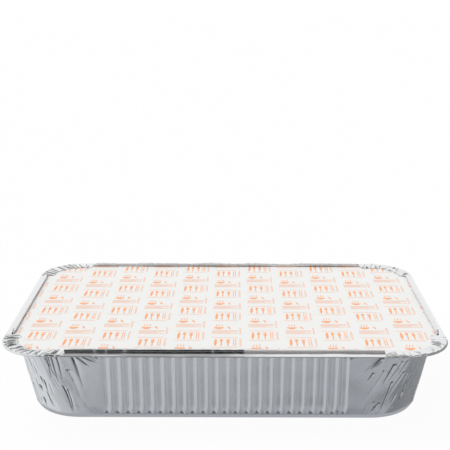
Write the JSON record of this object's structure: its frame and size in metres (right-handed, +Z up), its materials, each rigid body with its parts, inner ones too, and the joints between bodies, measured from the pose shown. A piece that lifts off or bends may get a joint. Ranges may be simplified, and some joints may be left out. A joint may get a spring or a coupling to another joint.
{
  "type": "foil food container",
  "caption": "Rectangular pressed-foil food container with grooved tapered walls, closed by a printed board lid held under the folded and rolled rim.",
  "frame": {"origin": "middle of the base's underside", "axes": "+X along the container, +Y across it, +Z up"},
  "size_m": [0.32, 0.216, 0.0584],
  "materials": {
    "foil": "bright",
    "board": "matte",
    "strong_ink": "matte",
    "pale_ink": "matte"
  },
  "bodies": {
    "root": {"foil_tray": "foil", "board_lid": "board", "lid_print_motifs": "strong_ink", "lid_print_bands": "pale_ink"}
  },
  "joints": []
}
